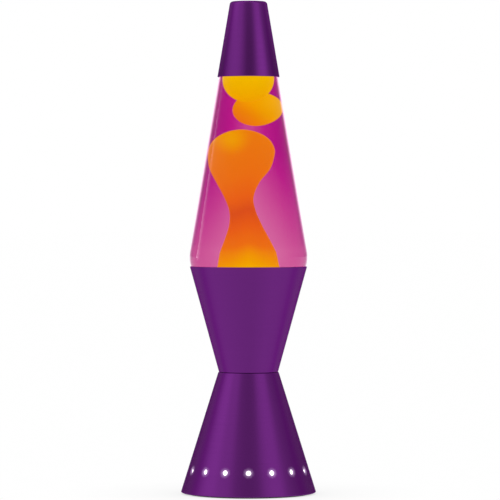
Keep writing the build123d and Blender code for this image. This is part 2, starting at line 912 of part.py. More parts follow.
# ---------------------------------------------------------------- label and write every piece
pieces = {
    "lower_cone": lower_cone,
    "upper_cup": upper_cup,
    "bottom_cover": bottom_cover,
    "foot_ring": foot_ring,
    "socket_bracket": socket_bracket,
    "threaded_nipple": threaded_nipple,
    "nipple_nuts": nipple_nuts,
    "lock_washer": lock_washer,
    "socket_cap": socket_cap,
    "socket_body": socket_body,
    "terminal_screws": terminal_screws,
    "socket_screw_shell": socket_screw_shell,
    "socket_contact": socket_contact,
    "socket_leads": socket_leads,
    "bulb_envelope": bulb_envelope,
    "bulb_screw_base": bulb_screw_base,
    "bulb_insulator": bulb_insulator,
    "bulb_tip_contact": bulb_tip_contact,
    "bulb_stem": bulb_stem,
    "bulb_support_wires": bulb_support_wires,
    "bulb_filament": bulb_filament,
    "glass_bottle": glass_bottle,
    "crown_liner": crown_liner,
    "crown_cap": crown_cap,
    "cap": cap,
    "wax_coil": wax_coil,
    "wax_column": wax_column,
    "wax_free_blob": wax_free_blob,
    "wax_top_blob": wax_top_blob,
    "liquid": liquid,
    "cord_bushing": cord_bushing,
    "cord_lamp_side": cord_lamp_side,
    "cord_plug_side": cord_plug_side,
    "switch_lower_half": switch_lower_half,
    "switch_upper_half": switch_upper_half,
    "switch_wheel": switch_wheel,
    "switch_pin": switch_pin,
    "switch_contacts": switch_contacts,
    "switch_bridge": switch_bridge,
    "switch_screws": switch_screws,
    "plug_body": plug_body,
    "plug_blades": plug_blades,
}

for name, piece in pieces.items():
    piece.part.label = name
    export_step(piece.part, f"parts/{name}.step")
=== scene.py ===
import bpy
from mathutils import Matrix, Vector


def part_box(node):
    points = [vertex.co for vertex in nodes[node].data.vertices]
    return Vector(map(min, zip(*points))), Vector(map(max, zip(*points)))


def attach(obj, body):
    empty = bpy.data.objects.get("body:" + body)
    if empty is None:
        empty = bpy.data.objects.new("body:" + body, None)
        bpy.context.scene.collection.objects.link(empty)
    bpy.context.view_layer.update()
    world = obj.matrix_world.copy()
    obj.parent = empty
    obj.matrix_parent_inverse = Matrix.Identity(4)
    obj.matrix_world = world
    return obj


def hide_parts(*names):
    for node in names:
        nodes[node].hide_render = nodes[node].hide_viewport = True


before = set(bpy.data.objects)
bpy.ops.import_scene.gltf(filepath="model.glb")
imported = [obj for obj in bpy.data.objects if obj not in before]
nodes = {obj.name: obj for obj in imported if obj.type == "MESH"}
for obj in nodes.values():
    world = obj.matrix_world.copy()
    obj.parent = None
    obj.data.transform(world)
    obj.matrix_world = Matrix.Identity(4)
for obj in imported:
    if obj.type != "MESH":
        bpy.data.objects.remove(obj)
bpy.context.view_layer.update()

# Looks of a lava lamp: lacquered spun metal, a lit globe of liquid and wax, bulb, cord, switch and plug.
# Metres, +Z up, the lamp's axis is Z and its front is -Y, as in the frame.

import math

import bmesh
import bpy
from mathutils import Vector

MM = 0.001

# ------------------------------------------------------------------ sizes, from the frame
cap_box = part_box("cap")
cup_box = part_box("upper_cup")
cone_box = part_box("lower_cone")
bottle_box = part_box("glass_bottle")
liquid_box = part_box("liquid")

CAP_Z = cap_box[0].z - 0.3 * MM  # the cap's edge is drawn a little low
TOP_Z = cap_box[1].z
RIM_Z = cup_box[1].z
FLARE_Z = cup_box[0].z
WAIST_Z = cone_box[1].z
EDGE_Z = cone_box[0].z
GLOBE_Z = bottle_box[0].z
MOUTH_Z = bottle_box[1].z
LEVEL_Z = liquid_box[1].z

# spun shells
CAP_R = cap_box[1].x + 0.07 * MM
CAP_TOP_R = 13.75 * MM
CAP_WALL = 1.1 * MM
RIM_R = cup_box[1].x + 0.12 * MM
BASE_R = cone_box[1].x + 0.18 * MM
WAIST_R = 22.1 * MM
CONE_TOP_R = 22.6 * MM
CONE_SLOPE = (BASE_R - CONE_TOP_R) / (WAIST_Z - EDGE_Z)
CONE_WALL = 1.1 * MM
HEM_R = 47.6 * MM
COLLAR_R = 18.2 * MM
COLLAR_WALL = 0.7 * MM
WAIST_HOLE_R = COLLAR_R + 0.75 * MM
FLARE_R = 19.85 * MM
WALL = 0.85 * MM
SHEET = 0.8 * MM

# the ring of light holes and the cord's hole
STAR_COUNT = 16
STAR_Z = 18.5 * MM
STAR_R = 1.85 * MM
CORD_Z = 8.2 * MM
CORD_HOLE_R = 3.75 * MM
CORD_HOLE_Y = 48 * MM

# globe: its wall falls inward from the belly both ways, and meets the cap's edge at GLASS_TOP_R
GLASS_LOW_SLOPE = (RIM_R - WAIST_R) / (RIM_Z - WAIST_Z)
GLASS_HIGH_SLOPE = 0.166
GLASS_TOP_R = 22.0 * MM
GLASS_FIT = WALL + 0.08 * MM
BELLY_Z = (GLASS_TOP_R + GLASS_HIGH_SLOPE * CAP_Z - WAIST_R + GLASS_LOW_SLOPE * WAIST_Z + GLASS_FIT) / (
    GLASS_LOW_SLOPE + GLASS_HIGH_SLOPE)
BELLY_R = GLASS_TOP_R + GLASS_HIGH_SLOPE * (CAP_Z - BELLY_Z)
BELLY_BEND = 25 * MM
BOTTOM_R = BELLY_R - (BELLY_Z - GLOBE_Z) * GLASS_LOW_SLOPE
FOOT_R = 21 * MM
PUNT_R = 16 * MM
PUNT = 1.5 * MM
SHOULDER_Z = 330.0 * MM
SHOULDER_R = GLASS_TOP_R - GLASS_HIGH_SLOPE * (SHOULDER_Z - CAP_Z)
NECK_R = 11.5 * MM
FINISH_R = 13.3 * MM
LIP_R = 12.2 * MM
BORE_R = 8.5 * MM
GLOBE_IOR = 1.40
DYE_GAP = 0.35 * MM
DYE_FLOOR = 4.3 * MM

AXIS = 1e-6
SIDES = 192


# ------------------------------------------------------------------ mesh helpers
def rounded(corners, steps=7):
    """(radius, height) points of a line through the corners; a third number rounds that corner."""
    points = []
    for i, corner in enumerate(corners):
        here = Vector(corner[:2])
        size = corner[2] if len(corner) > 2 else 0
        if not size:
            points.append(here)
            continue
        before = (Vector(corners[i - 1][:2]) - here).normalized()
        after = (Vector(corners[(i + 1) % len(corners)][:2]) - here).normalized()
        half = before.angle(after) / 2
        centre = here + (before + after).normalized() * (size / math.sin(half))
        start = here + before * (size / math.tan(half)) - centre
        end = here + after * (size / math.tan(half)) - centre
        sweep = math.atan2(start.x * end.y - start.y * end.x, start.dot(end))
        for step in range(steps + 1):
            angle = sweep * step / steps
            turned = Vector((
                start.x * math.cos(angle) - start.y * math.sin(angle),
                start.x * math.sin(angle) + start.y * math.cos(angle),
            ))
            points.append(centre + turned)
    return points


def mesh_object(name, mesh, *materials, crease=35):
    """Object from a bmesh, smooth except across edges sharper than crease degrees."""
    data = bpy.data.meshes.new(name)
    mesh.to_mesh(data)
    mesh.free()
    for material in materials:
        data.materials.append(material)
    data.shade_smooth()
    data.set_sharp_from_angle(angle=math.radians(crease))
    obj = bpy.data.objects.new(name, data)
    bpy.context.scene.collection.objects.link(obj)
    return obj


def ring(mesh, radius, z, sides, centre=(0, 0)):
    """Vertices round the axis, or the one on it."""
    if radius < AXIS:
        return [mesh.verts.new((centre[0], centre[1], z))]
    return [
        mesh.verts.new((
            centre[0] + radius * math.cos(2 * math.pi * i / sides),
            centre[1] + radius * math.sin(2 * math.pi * i / sides),
            z,
        ))
        for i in range(sides)
    ]


def bridge(mesh, low, high, slot=0):
    """Faces between two rings, either of which may be a single point."""
    count = max(len(low), len(high))
    for i in range(count):
        j = (i + 1) % count
        corners = [low[i % len(low)], low[j % len(low)], high[j % len(high)], high[i % len(high)]]
        unique = list(dict.fromkeys(corners))
        if len(unique) > 2:
            mesh.faces.new(unique).material_index = slot


def lathe(name, profile, *materials, closed=True, inner_from=None, sides=SIDES):
    """Turned piece from a (radius, height) profile; points from inner_from on take the second material."""
    mesh = bmesh.new()
    rings = [ring(mesh, r, z, sides) for r, z in profile]
    last = len(rings) if closed and profile[0][0] > AXIS else len(rings) - 1
    for i in range(last):
        slot = 1 if inner_from is not None and i >= inner_from else 0
        bridge(mesh, rings[i], rings[(i + 1) % len(rings)], slot)
    bmesh.ops.recalc_face_normals(mesh, faces=mesh.faces)
    return mesh_object(name, mesh, *materials)


def cut(obj, cutters):
    """Takes the cutters' volume out of obj and deletes them."""
    for cutter in cutters:
        modifier = obj.modifiers.new("cut", "BOOLEAN")
        modifier.operation = "DIFFERENCE"
        modifier.solver = "EXACT"
        modifier.object = cutter
    graph = bpy.context.evaluated_depsgraph_get()
    data = bpy.data.meshes.new_from_object(obj.evaluated_get(graph), depsgraph=graph)
    obj.modifiers.clear()
    obj.data = data
    for cutter in cutters:
        bpy.data.objects.remove(cutter)


def peg(radius, length, place, direction, sides=40):
    """Plain round cutter centred on a place, along a direction."""
    mesh = bmesh.new()
    bmesh.ops.create_cone(mesh, cap_ends=True, segments=sides, radius1=radius, radius2=radius, depth=length)
    obj = mesh_object("cutter", mesh)
    obj.rotation_mode = "QUATERNION"
    obj.rotation_quaternion = Vector((0, 0, 1)).rotation_difference(Vector(direction))
    obj.location = place
    return obj


def smooth_curve(knots, count):
    """Points of a Catmull-Rom curve through the knots, which are equal-length tuples."""
    padded = [knots[0]] + list(knots) + [knots[-1]]
    points = []
    for i in range(count + 1):
        place = i / count * (len(knots) - 1)
        k = min(int(place), len(knots) - 2)
        t = place - k
        a, b, c, d = padded[k:k + 4]
        points.append(tuple(
            0.5 * (
                2 * q + (r - p) * t + (2 * p - 5 * q + 4 * r - s) * t * t
                + (3 * q - p - 3 * r + s) * t ** 3
            )
            for p, q, r, s in zip(a, b, c, d)
        ))
    return points


# ------------------------------------------------------------------ node helpers
class Tree:
    """A node tree being put together."""

    def __init__(self, tree):
        self.tree = tree

    def put(self, socket, value):
        if isinstance(value, bpy.types.NodeSocket):
            self.tree.links.new(value, socket)
        elif socket.type == "RGBA":
            socket.default_value = (*value[:3], 1)
        else:
            socket.default_value = value

    def node(self, kind, inputs=(), output=0, **settings):
        node = self.tree.nodes.new(kind)
        for key, value in settings.items():
            setattr(node, key, value)
        for key, value in dict(inputs).items():
            self.put(node.inputs[key], value)
        return node.outputs[output]

    def math(self, operation, a, b=0.0, clamp=False):
        return self.node("ShaderNodeMath", {0: a, 1: b}, operation=operation, use_clamp=clamp)

    def length(self, a, b):
        """Length of the vector (a, b)."""
        return self.math("SQRT", self.math("ADD", self.math("MULTIPLY", a, a), self.math("MULTIPLY", b, b)))

    def turn(self, x, y):
        """Share of a turn: 0.5 straight in front of the lamp, less to its left, more to its right."""
        angle = self.math("ARCTAN2", x, self.math("MULTIPLY", y, -1.0))
        return self.math("ADD", self.math("DIVIDE", angle, 2 * math.pi), 0.5)

    def split(self, vector):
        separate = self.tree.nodes.new("ShaderNodeSeparateXYZ")
        self.put(separate.inputs[0], vector)
        return separate.outputs

    def range(self, value, low, high, to_low=0.0, to_high=1.0, kind="LINEAR"):
        return self.node("ShaderNodeMapRange", {
            "Value": value, "From Min": low, "From Max": high, "To Min": to_low, "To Max": to_high,
        }, interpolation_type=kind)

    def ramp(self, value, stops):
        node = self.tree.nodes.new("ShaderNodeValToRGB")
        elements = node.color_ramp.elements
        while len(elements) < len(stops):
            elements.new(0.5)
        for element, (at, colour) in zip(elements, stops):
            element.position = at
            element.color = (*colour[:3], 1)
        self.put(node.inputs[0], value)
        return node.outputs[0]

    def mix(self, share, a, b, blend="MIX"):
        node = self.tree.nodes.new("ShaderNodeMix")
        node.data_type = "RGBA"
        node.blend_type = blend
        self.put(node.inputs["Factor"], share)
        self.put(node.inputs[6], a)
        self.put(node.inputs[7], b)
        return node.outputs[2]

    def mirrored_ray(self):
        """1 for a ray that a surface has mirrored, and 0 for one that has gone through glass."""
        glossy = self.node("ShaderNodeLightPath", output="Is Glossy Ray")
        through = self.node("ShaderNodeLightPath", output="Is Transmission Ray")
        return self.math("SUBTRACT", glossy, through)


class Look(Tree):
    """A node material being put together on its Principled surface."""

    def __init__(self, name, **surface):
        self.material = bpy.data.materials.new(name)
        self.material.use_nodes = True
        super().__init__(self.material.node_tree)
        self.surface = self.tree.nodes["Principled BSDF"]
        self.set(**surface)

    def set(self, **surface):
        for key, value in surface.items():
            self.put(self.surface.inputs[key.replace("_", " ")], value)

    def place(self):
        """Object coordinates: metres in the lamp's own frame, whatever the pose."""
        return self.node("ShaderNodeTexCoord", output="Object")

    def axes(self):
        return self.split(self.place())

    def noise(self, scale, detail=2.0, stretch=(1, 1, 1)):
        mapped = self.node("ShaderNodeMapping", {"Vector": self.place(), "Scale": stretch})
        return self.node("ShaderNodeTexNoise", {"Vector": mapped, "Scale": scale, "Detail": detail})

    def bump(self, height, strength, distance=0.0002):
        self.set(Normal=self.node("ShaderNodeBump", {
            "Height": height, "Strength": strength, "Distance": distance,
        }))

    def facing(self):
        """0 where the surface faces the eye, 1 where it is seen edge on."""
        return self.node("ShaderNodeLayerWeight", {"Blend": 0.5}, output="Facing")

    def leaving(self):
        """1 where a ray leaves the body, 0 where it enters."""
        return self.node("ShaderNodeNewGeometry", output="Backfacing")


def linear(red, green, blue):
    """Scene colour of an 8-bit screen colour."""
    return tuple(
        v / 255 / 12.92 if v / 255 <= 0.04045 else ((v / 255 + 0.055) / 1.055) ** 2.4
        for v in (red, green, blue)
    )


# ------------------------------------------------------------------ materials
PURPLE = (0.150, 0.0215, 0.205)
PURPLE_RING = (0.11, 0.016, 0.155)
PURPLE_FLAKE = (0.2, 0.035, 0.27)
PURPLE_SIDE = (0.358, 0.24, 0.385)
PURPLE_GLINT = (0.30, 0.075, 0.38)
# the lit space inside the base
INSIDE_R = 46.6 * MM
INSIDE_LOW_Z = 2.45 * MM
INSIDE_HIGH_Z = 30 * MM
# heights over the rim: where the painted glow from below leaves the liquid palest, where it has faded to
# the deepest magenta, and where the globe's painted edge highlight reaches full strength
LIQUID_GLOW_PALEST = 8 * MM
LIQUID_GLOW_FADED = 86 * MM
EDGE_HIGHLIGHT_RISE = 45 * MM


def lacquer(name):
    """Purple metallic lacquer on spun aluminium: fine rings, faint flake and orange peel."""
    look = Look(name, Metallic=1.0, IOR=1.5)
    rings = look.noise(1.0, 3.0, (30, 30, 2600))
    flake = look.noise(5200.0, 1.0)
    shade = look.mix(look.range(rings, 0.3, 0.7, 0.0, 0.16), PURPLE, PURPLE_RING)
    shade = look.mix(look.range(flake, 0.55, 0.8, 0.0, 0.25), shade, PURPLE_FLAKE)
    # keeps the lacquer purple out to its edges, where bare metal would turn pale
    side = look.math("POWER", look.range(look.facing(), 0.38, 0.75), 1.8)
    look.set(
        Base_Color=look.mix(side, shade, PURPLE_SIDE),
        Roughness=look.range(rings, 0.25, 0.75, 0.18, 0.26),
        Specular_Tint=PURPLE_GLINT,
    )
    peel = look.noise(420.0, 2.0)
    look.bump(look.math("ADD", look.math("MULTIPLY", rings, 0.6), peel), 0.05)
    return look


def star_halo(look):
    """Soft glow of the lit light holes on the lacquer round them."""
    x, y, z = look.axes()
    sector = 2 * math.pi / STAR_COUNT
    angle = look.math("ADD", look.math("ARCTAN2", y, x), math.pi / 2 + sector / 2)
    local = look.math("SUBTRACT", look.math("FRACT", look.math("DIVIDE", angle, sector)), 0.5)
    across = look.math("MULTIPLY", look.math("MULTIPLY", local, sector), look.length(x, y))
    # the wall leans, so a step up it is a little longer than a step in height
    up = look.math("MULTIPLY", look.math("SUBTRACT", z, STAR_Z), 1.05)
    uneven = look.math("MULTIPLY", look.math("SUBTRACT", look.noise(900.0, 2.0), 0.5), 1.6 * MM)
    distance = look.math("ADD", look.length(across, up), uneven)
    near = look.range(distance, STAR_R * 0.95, STAR_R * 2.6, 1.0, 0.0)
    glow = look.math("POWER", near, 2.0)
    look.set(Emission_Color=(0.82, 0.60, 0.90), Emission_Strength=look.math("MULTIPLY", glow, 0.36))
    return look


def lit_inside():
    """Inner wall of the base, bright from the bulb."""
    look = Look("lit_inner_wall", Base_Color=(0.8, 0.78, 0.8), Roughness=0.5, Metallic=0.3)
    patches = look.noise(60.0, 2.0)
    look.set(
        Emission_Color=look.mix(patches, (1.0, 0.93, 1.0), (1.0, 0.97, 0.92)),
        Emission_Strength=look.range(patches, 0.3, 0.7, 0.92, 1.08),
    )
    return look


def bare_metal(name, colour, roughness=0.35):
    """Plated or rolled metal with fine drawing marks and a little staining."""
    look = Look(name, Metallic=1.0)
    marks = look.noise(1500.0, 4.0, (1, 1, 12))
    stain = look.noise(120.0, 3.0)
    dark = tuple(0.72 * c for c in colour)
    look.set(
        Base_Color=look.mix(look.range(stain, 0.4, 0.75, 0.0, 0.6), colour, dark),
        Roughness=look.range(marks, 0.3, 0.7, roughness - 0.08, roughness + 0.12),
    )
    look.bump(marks, 0.15, 0.00005)
    return look


def flood(look):
    """Bright light from the bulb on whatever lies low inside the base."""
    x, y, z = look.axes()
    within = look.math("LESS_THAN", look.length(x, y), INSIDE_R)
    inside = look.math("MULTIPLY", within, look.math("GREATER_THAN", z, INSIDE_LOW_Z))
    low = look.math("MULTIPLY", inside, look.math("LESS_THAN", z, INSIDE_HIGH_Z))
    look.set(Emission_Color=(1.0, 0.94, 0.98), Emission_Strength=low)
    return look


def moulded(name, colour, roughness=0.45, grain=1800.0, depth=0.12):
    """Moulded plastic or rubber with a fine spark-eroded grain."""
    look = Look(name)
    pits = look.noise(grain, 3.0)
    wear = look.noise(90.0, 2.0)
    light = tuple(min(1.0, 1.5 * c + 0.004) for c in colour)
    look.set(
        Base_Color=look.mix(look.range(wear, 0.35, 0.7), colour, light),
        Roughness=look.range(pits, 0.3, 0.7, roughness - 0.07, roughness + 0.1),
    )
    look.bump(pits, depth, 0.00008)
    return look


def clear_glass():
    """The globe's glass, optically one body with the liquid it holds."""
    look = Look("globe_glass", Base_Color=(1, 1, 1), Transmission_Weight=1.0, IOR=GLOBE_IOR,
                Specular_Tint=(0.04, 0.04, 0.04))
    ripple = look.noise(38.0, 1.0, (1, 1, 0.35))
    look.set(Roughness=look.range(look.noise(300.0), 0.3, 0.8, 0.0, 0.012))
    look.bump(ripple, 0.008, 0.0006)
    # painted highlight: a thin bright line where the wall is seen edge on
    x, y, z = look.axes()
    narrow = look.range(z, RIM_Z, CAP_Z, -0.04, 0.09)
    edge = look.range(look.math("ADD", look.facing(), narrow), 0.70, 0.90, 0.0, 0.62, "SMOOTHSTEP")
    # which is fainter near the rim
    edge = look.math("MULTIPLY", edge, look.range(z, RIM_Z, RIM_Z + EDGE_HIGHLIGHT_RISE, 0.35, 1.0))
    entering = look.math("SUBTRACT", 1.0, look.leaving())
    # light leaves the far wall unbent, so that no part of the globe goes dark by total reflection
    look.set(IOR=look.range(entering, 0.0, 1.0, 1.0, GLOBE_IOR))
    # the painted highlight is given out as light, on the near wall only
    look.set(Emission_Color=(1.0, 0.55, 0.85), Emission_Strength=look.math("MULTIPLY", edge, entering))
    return look


def dyed_liquid():
    """Magenta dye with a painted glow from below: pale pink low and in the middle, deep magenta high and at
    the sides.
    """
    look = Look("magenta_liquid", Transmission_Weight=1.0, IOR=1.0, Roughness=0.0, Specular_IOR_Level=0.0)
    x, y, z = look.axes()
    # painted glow from below: the liquid is palest low down and deepens upward
    height = look.range(z, RIM_Z + LIQUID_GLOW_PALEST, RIM_Z + LIQUID_GLOW_FADED, -0.24, 0.42)
    # how far to the side the line of sight passes the axis, as a share of the globe's radius
    level = look.math("SUBTRACT", 1.0, look.facing())
    bent = look.math("SUBTRACT", 1.0, look.math("MULTIPLY", level, level))
    bent = look.math("MULTIPLY", bent, GLOBE_IOR ** 2)
    side = look.math("SQRT", look.math("SUBTRACT", bent, 0.085, clamp=True))
    rim = look.range(side, 0.88, 0.97, 0.0, 0.35, "SMOOTHSTEP")
    cloud = look.math("MULTIPLY", look.math("SUBTRACT", look.noise(26.0, 2.0, (1, 1, 0.5)), 0.5), 0.16)
    # painted glow round the axis: the colour deepens as the line of sight passes further to the side, and
    # more close to the wall
    spread = look.math("ADD", look.math("MULTIPLY", side, 0.75), rim)
    depth = look.math("MULTIPLY", look.math("ADD", look.math("ADD", height, spread), cloud), 0.7)
    # the dye's magenta with the painted glow in it, pale where the glow is strong
    dye = look.ramp(depth, [
        (0.0, linear(213, 106, 160)),
        (0.175, linear(206, 86, 151)),
        (0.35, linear(196, 58, 141)),
        (0.525, linear(184, 24, 133)),
        (0.70, linear(170, 4, 125)),
        (0.95, linear(152, 10, 108)),
    ])
    # the surface takes the root of its colour, and only the far side is dyed
    look.set(Base_Color=look.mix(look.leaving(), (1, 1, 1), look.mix(1.0, dye, dye, "MULTIPLY")))
    return look


def glowing_wax(name, stops, low, high, tilt=0.0, spread=0.0):
    """Translucent wax with its light from below painted into its colour; stops run from low to high, lean
    with x and dip off the axis.
    """
    look = Look(name, Roughness=0.35, IOR=1.02)
    x, y, z = look.axes()
    blotch = look.math("MULTIPLY", look.math("SUBTRACT", look.noise(38.0, 2.0), 0.5), 0.07)
    off_axis = look.math("MULTIPLY", look.math("ABSOLUTE", x), spread)
    lean = look.math("ADD", look.math("MULTIPLY", x, tilt), off_axis)
    level = look.math("ADD", look.math("ADD", look.range(z, low, high), lean), blotch)
    colour = look.ramp(level, stops)
    # painted rim light: where the wax is seen edge on, its colour turns toward a light orange
    rim = look.math("POWER", look.facing(), 7.0)
    look.colour = look.mix(look.math("MULTIPLY", rim, 0.5), colour, (0.95, 0.36, 0.05))
    return look


def bright_spot(look, x_mm, z_mm, reach_mm, colour):
    """Soft spot of another colour, seen from the front: a brighter patch of the wax's painted glow."""
    x, y, z = look.axes()
    across = look.math("SUBTRACT", x, x_mm * MM)
    up = look.math("SUBTRACT", z, z_mm * MM)
    share = look.range(look.length(across, up), 0.0, reach_mm * MM, 0.95, 0.0, "SMOOTHSTEP")
    look.colour = look.mix(share, look.colour, colour)
    return look


def lit(look):
    """Lets the wax glow: its colour, painted glow and rim light included, is given out as light."""
    look.set(
        Base_Color=look.mix(0.85, look.colour, (0, 0, 0)),
        Emission_Color=look.colour,
        Emission_Strength=0.93,
        Specular_IOR_Level=0.0,
    )
    look.bump(look.noise(120.0, 2.0), 0.05, 0.0004)
    return look.material


def lit_bulb_glass():
    """Frosted bulb glass, brightest where it faces the eye."""
    look = Look("lit_bulb_glass", Base_Color=(1, 0.97, 0.9), Roughness=0.25, IOR=1.45)
    frost = look.noise(700.0, 2.0)
    core = look.math("SUBTRACT", 1.0, look.facing())
    look.set(
        Emission_Color=look.mix(core, (1.0, 0.80, 0.52), (1.0, 0.95, 0.82)),
        Emission_Strength=look.math(
            "ADD", look.math("MULTIPLY", core, 2.2), look.math("MULTIPLY", frost, 0.2)),
    )
    return look.material


YELLOW = linear(242, 185, 0)
AMBER = linear(239, 160, 2)
ORANGE = linear(233, 112, 20)
RED_ORANGE = linear(216, 80, 28)

purple = lacquer("purple_lacquer").material
purple_lit = star_halo(lacquer("purple_lacquer_by_holes")).material
inner_wall = lit_inside().material
glass = clear_glass().material
liquid_dye_and_glow = dyed_liquid().material
bulb_glass = lit_bulb_glass()
steel = bare_metal("zinc_plated_steel", (0.62, 0.61, 0.58)).material
tinplate = bare_metal("tinplate", (0.72, 0.72, 0.72), 0.22).material
brass = bare_metal("rolled_brass", (0.78, 0.56, 0.24), 0.28).material
nickel = bare_metal("nickel_plate", (0.7, 0.67, 0.6), 0.2).material
tungsten = bare_metal("tungsten", (0.3, 0.29, 0.28), 0.5).material
black_plastic = flood(moulded("black_plastic", (0.018, 0.018, 0.02))).material
wheel_plastic = moulded("wheel_plastic", (0.045, 0.045, 0.05), 0.5).material
black_rubber = moulded("black_rubber", (0.02, 0.02, 0.02), 0.75, 900.0, 0.3).material
cord_pvc = flood(moulded("cord_pvc", (0.02, 0.02, 0.022), 0.38, 700.0, 0.15)).material
lead_pvc = flood(moulded("lead_insulation", (0.55, 0.55, 0.53), 0.4)).material
phenolic = moulded("phenolic", (0.045, 0.018, 0.011), 0.25, 500.0, 0.05).material
vitrite = moulded("vitrite", (0.015, 0.015, 0.02), 0.12, 400.0, 0.05).material
liner = moulded("liner", (0.75, 0.75, 0.72), 0.6).material

LOOKS = {
    "bottom_cover": black_plastic, "foot_ring": black_rubber, "socket_bracket": steel,
    "threaded_nipple": steel, "nipple_nuts": steel, "lock_washer": steel, "socket_cap": phenolic,
    "socket_body": phenolic, "terminal_screws": brass, "socket_screw_shell": brass,
    "socket_contact": brass, "socket_leads": lead_pvc, "bulb_envelope": bulb_glass,
    "bulb_stem": bulb_glass, "bulb_screw_base": nickel, "bulb_insulator": vitrite,
    "bulb_tip_contact": tinplate, "bulb_support_wires": nickel, "bulb_filament": tungsten,
    "crown_liner": liner, "crown_cap": tinplate, "wax_coil": steel, "cord_bushing": black_plastic,
    "cord_lamp_side": cord_pvc, "cord_plug_side": cord_pvc, "switch_lower_half": black_plastic,
    "switch_upper_half": black_plastic, "switch_wheel": wheel_plastic, "switch_pin": steel,
    "switch_contacts": brass, "switch_bridge": brass, "switch_screws": steel,
    "plug_body": cord_pvc, "plug_blades": nickel,
}
for node_name, material in LOOKS.items():
    data = nodes[node_name].data
    data.materials.clear()
    data.materials.append(material)


# ------------------------------------------------------------------ spun metal shells
def spun_cap():
    """Cap: long cone with a closed, rounded top and a plain edge at the bottom."""
    under = TOP_Z - SHEET
    profile = rounded([
        (0, TOP_Z), (CAP_TOP_R, TOP_Z, 2.5 * MM), (CAP_R, CAP_Z, 0.4 * MM),
        (CAP_R - CAP_WALL, CAP_Z, 0.3 * MM), (CAP_TOP_R - CAP_WALL, under, 1.6 * MM), (0, under),
    ])
    return lathe("cap_shell", profile, purple, closed=False)


def spun_cup():
    """Cup: plain flaring cone with a rounded rim and a flared collar down through the waist."""
    floor = WAIST_Z + SHEET
    collar_out = COLLAR_R + COLLAR_WALL
    profile = rounded([
        (RIM_R - WALL, RIM_Z, 0.35 * MM), (RIM_R, RIM_Z, 0.4 * MM), (WAIST_R, WAIST_Z, 0.6 * MM),
        (collar_out, WAIST_Z), (collar_out, FLARE_Z + SHEET), (FLARE_R, FLARE_Z + SHEET, 0.2 * MM),
        (FLARE_R, FLARE_Z, 0.2 * MM), (COLLAR_R, FLARE_Z, 0.4 * MM), (COLLAR_R, floor, 0.3 * MM),
        (WAIST_R - 0.62 * MM, floor, 0.3 * MM),
    ])
    return lathe("cup_shell", profile, purple)


def spun_cone():
    """Lower cone with its ring of light holes, the cord's hole and a hem turned in at the foot."""
    under = WAIST_Z - SHEET
    hem_z = EDGE_Z + SHEET
    outside = rounded([
        (HEM_R, EDGE_Z, 0.3 * MM), (BASE_R, EDGE_Z, 0.5 * MM), (CONE_TOP_R, WAIST_Z, 0.6 * MM),
        (WAIST_HOLE_R, WAIST_Z),
    ])
    inside = rounded([
        (WAIST_HOLE_R, under), (CONE_TOP_R - 0.6 * MM, under, 0.3 * MM),
        (BASE_R - CONE_WALL, hem_z, 0.3 * MM), (HEM_R, hem_z),
    ])
    shell = lathe("cone_shell", outside + inside, purple_lit, inner_wall, inner_from=len(outside))
    radius = BASE_R - (STAR_Z - EDGE_Z) * CONE_SLOPE
    cutters = []
    for i in range(STAR_COUNT):
        angle = -math.pi / 2 + 2 * math.pi * i / STAR_COUNT
        out = Vector((math.cos(angle), math.sin(angle), 0))
        cutters.append(peg(STAR_R, 6 * MM, out * radius + Vector((0, 0, STAR_Z)), out))
    cutters.append(peg(CORD_HOLE_R, 8 * MM, (0, CORD_HOLE_Y, CORD_Z), (0, 1, 0)))
    cut(shell, cutters)
    even_normals(shell.data)
    return shell


def even_normals(data):
    """True cone normals on the outer wall, whatever the holes did to its faces."""
    lean = math.atan(CONE_SLOPE)
    normals = [Vector()] * len(data.loops)
    for face in data.polygons:
        out = Vector((face.center.x, face.center.y, 0)).normalized()
        wall = out * math.cos(lean) + Vector((0, 0, math.sin(lean)))
        if face.normal.angle(wall) > math.radians(2):
            continue
        for loop in face.loop_indices:
            corner = data.vertices[data.loops[loop].vertex_index].co
            out = Vector((corner.x, corner.y, 0)).normalized()
            normals[loop] = out * math.cos(lean) + Vector((0, 0, math.sin(lean)))
    data.normals_split_custom_set(normals)


cap_shell = spun_cap()
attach(cap_shell, "lid")
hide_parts("cap")
cup_shell = spun_cup()
cup_shell.visible_transmission = False
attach(cup_shell, "base")
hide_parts("upper_cup")
cone_shell = spun_cone()
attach(cone_shell, "base")
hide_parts("lower_cone")


# ------------------------------------------------------------------ globe
def bottle():
    """Bottle from its underside to the lip, then down its bore to the liquid's surface."""
    profile = rounded([
        (0, GLOBE_Z + PUNT), (PUNT_R, GLOBE_Z + PUNT, 4 * MM), (FOOT_R, GLOBE_Z, 4 * MM),
        (BOTTOM_R, GLOBE_Z, 6 * MM), (BELLY_R, BELLY_Z, BELLY_BEND), (SHOULDER_R, SHOULDER_Z, 5 * MM),
        (NECK_R, SHOULDER_Z + 8 * MM, 3 * MM), (NECK_R, MOUTH_Z - 6.5 * MM, 0.6 * MM),
        (FINISH_R, MOUTH_Z - 5.5 * MM, 0.6 * MM), (FINISH_R, MOUTH_Z - 0.6 * MM, 0.8 * MM),
        (LIP_R, MOUTH_Z, 0.4 * MM), (BORE_R, MOUTH_Z, 0.8 * MM), (BORE_R, SHOULDER_Z + 6 * MM, 3 * MM),
        (SHOULDER_R - 5 * MM, LEVEL_Z), (0, LEVEL_Z),
    ], steps=14)
    return lathe("globe", profile, glass, closed=False, sides=256)


